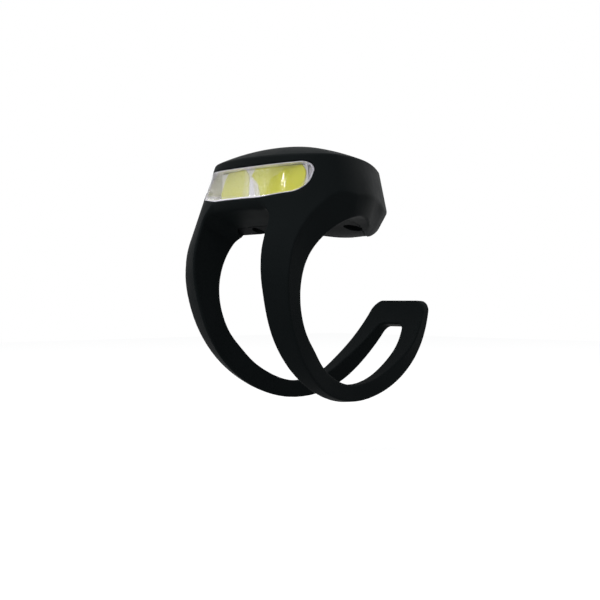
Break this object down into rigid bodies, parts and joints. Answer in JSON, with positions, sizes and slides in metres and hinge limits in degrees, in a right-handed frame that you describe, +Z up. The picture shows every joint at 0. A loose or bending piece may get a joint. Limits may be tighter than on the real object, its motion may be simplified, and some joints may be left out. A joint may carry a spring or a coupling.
{
  "type": "bicycle headlight",
  "caption": "Silicone handlebar headlight: egg-shaped head with a wrap-round window and a two-legged strap that flexes under the bar to a tab behind the head.",
  "frame": {"origin": "on the axis of the handlebar seat, midway between the two strap legs", "axes": "+X along the handlebar, light shines along -Y, +Z up through the head"},
  "size_m": [0.0386, 0.0517, 0.0513],
  "materials": {
    "silicone": "matte moulded silicone with a fine texture",
    "plunger_plastic": "white moulded plastic",
    "base_plastic": "satin black moulded plastic",
    "seal_rubber": "soft black seal",
    "screw_steel": "blackened steel screws",
    "case_plastic": "black moulded plastic",
    "board": "green lacquered circuit board",
    "switch_metal": "pressed tin-plated steel",
    "chip_plastic": "black moulded chip",
    "foam": "dark foam",
    "battery_foil": "silver pouch foil",
    "lens_clear": "clear polished plastic",
    "light_yellow": "yellow phosphor resin",
    "light_board": "white-coated aluminium board",
    "reflector_pale": "pale moulded reflector",
    "bracket_aluminium": "bare aluminium",
    "pin_brass": "gilt pins",
    "lead_red": "insulated wire"
  },
  "bodies": {
    "head": {"sleeve": "silicone", "base_plate": "base_plastic", "base_seal": "seal_rubber", "base_screws": "screw_steel", "pod_case": "case_plastic", "pod_lid": "case_plastic", "lid_seal": "seal_rubber", "circuit_board": "board", "board_screws": "screw_steel", "switch_body": "switch_metal", "driver_chips": "chip_plastic", "charge_socket": "switch_metal", "battery_pad": "foam", "battery_cell": "battery_foil", "lens": "lens_clear", "light_field_left": "light_yellow", "light_field_right": "light_yellow", "light_board_left": "light_board", "light_board_right": "light_board", "reflector": "reflector_pale", "light_bracket": "bracket_aluminium", "light_pins": "pin_brass", "battery_leads": "lead_red"},
    "strap_1": {"strap_left_upper": "silicone", "strap_right_upper": "silicone"},
    "strap_2": {"strap_left_lower": "silicone", "strap_right_lower": "silicone"},
    "strap_3": {"strap_left_tail": "silicone", "strap_right_tail": "silicone"},
    "strap_4": {"strap_tip": "silicone"},
    "button": {"button_pad": "silicone"},
    "plunger": {"switch_plunger": "plunger_plastic"}
  },
  "joints": [
    {"name": "strap_flex_1", "type": "hinge", "parent": "head", "child": "strap_1", "pos_m": [0, -0.0162, -0.0059], "axis": [1, 0, 0], "range_deg": [-10, 7], "stiffness_Nm_per_rad": 0.06},
    {"name": "strap_flex_2", "type": "hinge", "parent": "strap_1", "child": "strap_2", "pos_m": [0, -0.01005, -0.01435], "axis": [1, 0, 0], "range_deg": [-10, 7]},
    {"name": "strap_flex_3", "type": "hinge", "parent": "strap_2", "child": "strap_3", "pos_m": [0, 0, -0.01969], "axis": [1, 0, 0], "range_deg": [-10, 7]},
    {"name": "strap_flex_4", "type": "hinge", "parent": "strap_3", "child": "strap_4", "pos_m": [0, 0.01356, -0.01866], "axis": [1, 0, 0], "range_deg": [-10, 7]},
    {"name": "button_press", "type": "slide", "parent": "head", "child": "button", "axis": [0, 0, -1], "range_m": [0, 0.0005], "stiffness_N_per_m": 4000, "springref_m": -0.0002},
    {"name": "switch_travel", "type": "slide", "parent": "head", "child": "plunger", "axis": [0, 0, -1], "range_m": [0, 0.0005]}
  ],
  "couplings": [
    {"joint": "strap_flex_2", "follows": "strap_flex_1", "ratio": 1},
    {"joint": "strap_flex_3", "follows": "strap_flex_1", "ratio": 1},
    {"joint": "strap_flex_4", "follows": "strap_flex_1", "ratio": 1},
    {"joint": "switch_travel", "follows": "button_press", "ratio": 1}
  ]
}
